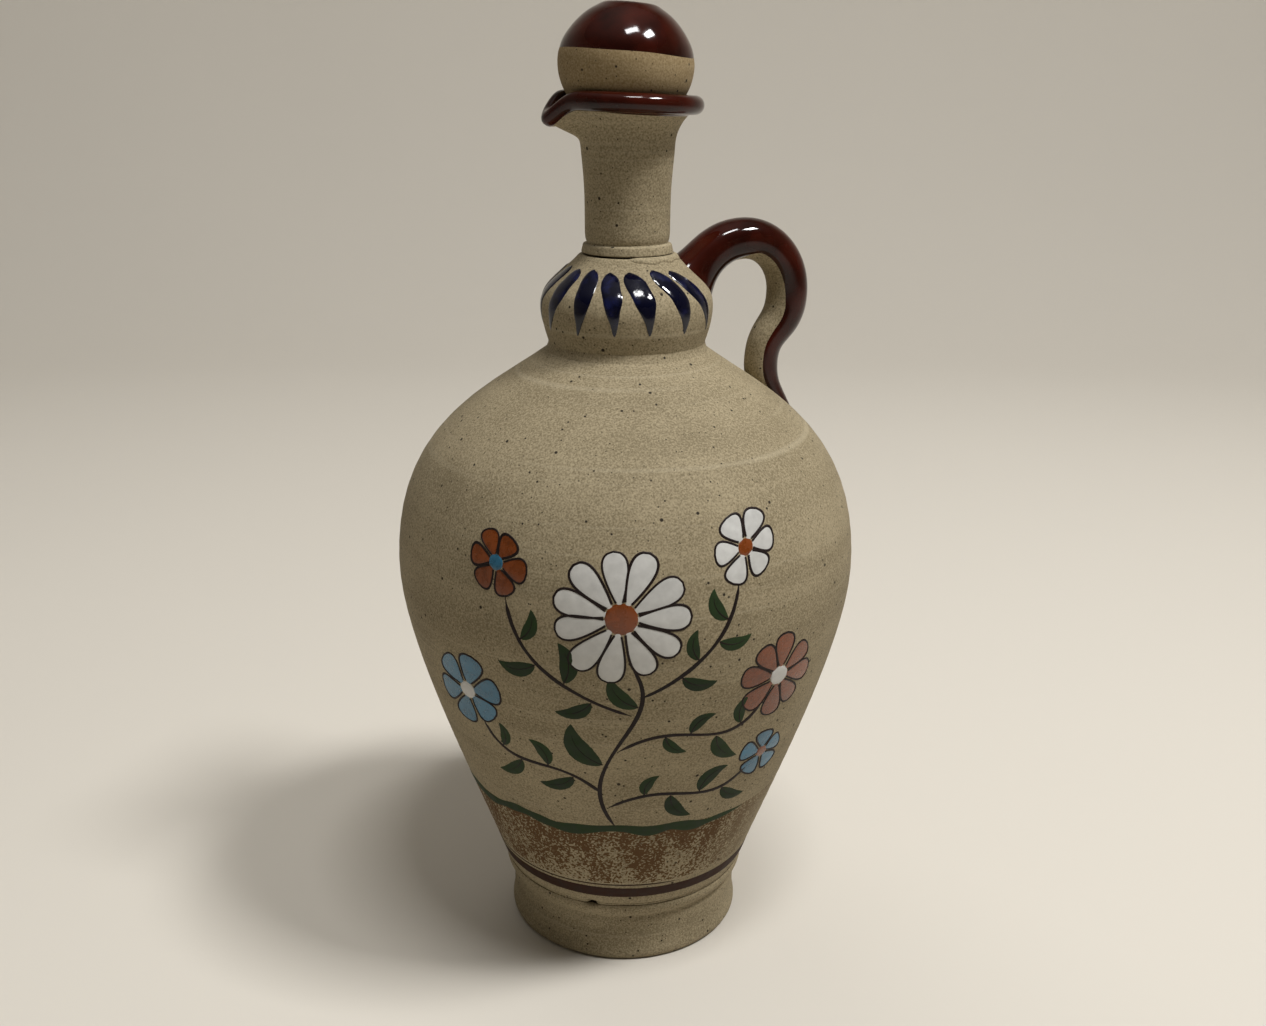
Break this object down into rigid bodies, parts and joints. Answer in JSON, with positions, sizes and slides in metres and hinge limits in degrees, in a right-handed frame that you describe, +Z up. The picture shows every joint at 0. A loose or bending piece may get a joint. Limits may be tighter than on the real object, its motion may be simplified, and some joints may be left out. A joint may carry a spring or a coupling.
{
  "type": "ceramic jug",
  "caption": "Hand-thrown stoneware jug with a bulbed collar, slender neck, pouring lip, pulled strap handle and a lift-out ball stopper on a cork plug.",
  "frame": {"origin": "centre of the foot ring's flat face, on the surface that the jug stands on", "axes": "+Z up along the turning axis, +X towards the handle, -X towards the pouring lip"},
  "size_m": [0.1424, 0.1424, 0.2904],
  "materials": {
    "stoneware": "matt unglazed grey-tan stoneware with fine dark specks",
    "brown_glaze": "glossy dark red-brown glaze",
    "cork": "raw natural cork",
    "cobalt_glaze": "glossy raised cobalt blue glaze, brushed on as petals",
    "painted_colours": "brushed green, brown, white, blue and rust colours, satin"
  },
  "bodies": {
    "jug": {"foot_ring": "stoneware", "body": "stoneware", "collar": "stoneware", "neck": "stoneware", "handle": "brown_glaze"},
    "stopper": {"stopper_head": "brown_glaze", "stopper_cork": "cork"}
  },
  "joints": [
    {"name": "stopper_lift", "type": "slide", "parent": "jug", "child": "stopper", "axis": [0, 0, 1], "range_m": [0, 0.06]}
  ]
}
